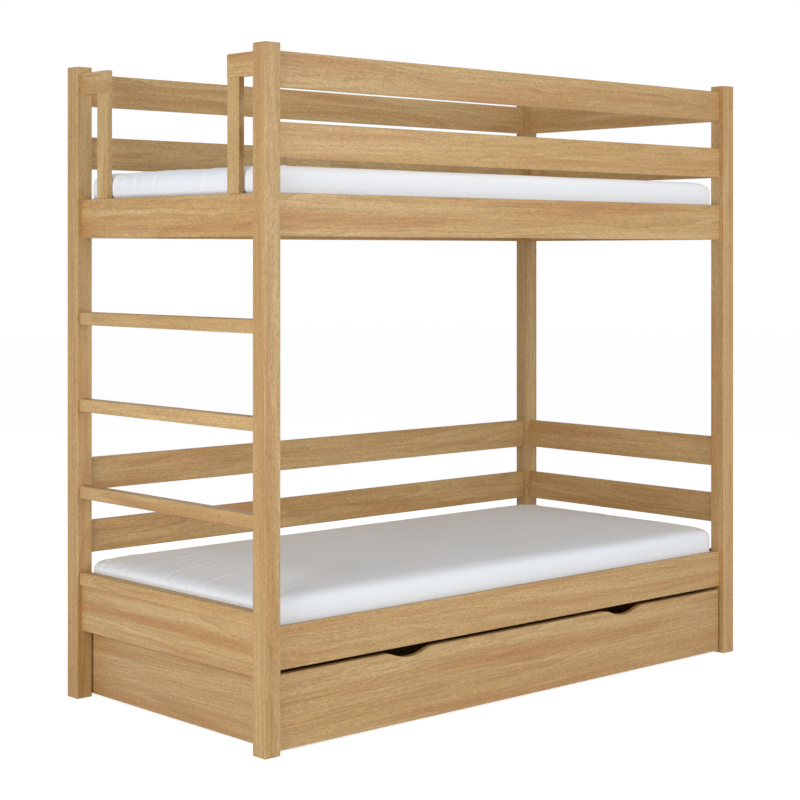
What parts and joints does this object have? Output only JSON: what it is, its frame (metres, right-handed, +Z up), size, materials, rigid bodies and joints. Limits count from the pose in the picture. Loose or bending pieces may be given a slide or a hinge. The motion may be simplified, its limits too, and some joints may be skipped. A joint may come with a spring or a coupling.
{
  "type": "bunk bed with drawers",
  "caption": "Wooden bunk bed for children with a ladder end, guard rails, slatted bases, sheeted mattresses and a full-width drawer that rolls out from under the lower bunk on castors.",
  "frame": {"origin": "on the floor, under the middle of the bed", "axes": "+X along the bed away from the ladder end, +Y towards the back rails, +Z up; the drawer opens towards -Y"},
  "size_m": [1.88, 0.88, 1.762],
  "materials": {
    "oak": "satin",
    "pine": "matte",
    "plywood": "matte",
    "sheet": "matte",
    "castor_housing": "matte",
    "castor_wheel": "matte",
    "axle_steel": "satin"
  },
  "bodies": {
    "bed": {"post_front_left": "oak", "post_back_left": "oak", "post_front_right": "oak", "post_back_right": "oak", "front_side_lower": "oak", "front_side_upper": "oak", "front_guard_low": "oak", "front_guard_top": "oak", "back_side_lower": "oak", "back_side_upper": "oak", "back_guard_low": "oak", "back_guard_top": "oak", "back_rail_low": "oak", "back_rail_top": "oak", "left_end_lower": "oak", "left_end_upper": "oak", "right_end_lower": "oak", "right_end_upper": "oak", "right_guard_low": "oak", "right_guard_top": "oak", "right_rail_low": "oak", "right_rail_top": "oak", "rung_1": "oak", "rung_2": "oak", "rung_3": "oak", "rung_4": "oak", "entry_stile_front": "oak", "entry_stile_back": "oak", "entry_rail_front": "oak", "entry_rail_back": "oak", "ledger_lower_front": "pine", "ledger_lower_back": "pine", "slats_lower": "pine", "ledger_upper_front": "pine", "ledger_upper_back": "pine", "slats_upper": "pine", "mattress_lower": "sheet", "mattress_upper": "sheet"},
    "drawer": {"drawer_front": "oak", "drawer_side_left": "oak", "drawer_side_right": "oak", "drawer_back": "oak", "drawer_bottom": "plywood", "drawer_cleat": "pine", "castor_housing_front_left": "castor_housing", "castor_housing_back_left": "castor_housing", "castor_housing_front_right": "castor_housing", "castor_housing_back_right": "castor_housing", "castor_axle_front_left": "axle_steel", "castor_axle_back_left": "axle_steel", "castor_axle_front_right": "axle_steel", "castor_axle_back_right": "axle_steel"},
    "wheel_front_left": {"castor_wheel_front_left": "castor_wheel"},
    "wheel_back_left": {"castor_wheel_back_left": "castor_wheel"},
    "wheel_front_right": {"castor_wheel_front_right": "castor_wheel"},
    "wheel_back_right": {"castor_wheel_back_right": "castor_wheel"}
  },
  "joints": [
    {"name": "drawer_slide", "type": "slide", "parent": "bed", "child": "drawer", "axis": [0, -1, 0], "range_m": [0, 0.8]},
    {"name": "wheel_front_left_spin", "type": "hinge", "parent": "drawer", "child": "wheel_front_left", "pos_m": [-0.833, -0.346, 0.02], "axis": [1, 0, 0], "continuous": true},
    {"name": "wheel_back_left_spin", "type": "hinge", "parent": "drawer", "child": "wheel_back_left", "pos_m": [-0.833, 0.325, 0.02], "axis": [1, 0, 0], "continuous": true},
    {"name": "wheel_front_right_spin", "type": "hinge", "parent": "drawer", "child": "wheel_front_right", "pos_m": [0.833, -0.346, 0.02], "axis": [1, 0, 0], "continuous": true},
    {"name": "wheel_back_right_spin", "type": "hinge", "parent": "drawer", "child": "wheel_back_right", "pos_m": [0.833, 0.325, 0.02], "axis": [1, 0, 0], "continuous": true}
  ],
  "couplings": [
    {"joint": "wheel_front_left_spin", "follows": "drawer_slide", "rad_per_m": 50},
    {"joint": "wheel_back_left_spin", "follows": "drawer_slide", "rad_per_m": 50},
    {"joint": "wheel_front_right_spin", "follows": "drawer_slide", "rad_per_m": 50},
    {"joint": "wheel_back_right_spin", "follows": "drawer_slide", "rad_per_m": 50}
  ]
}
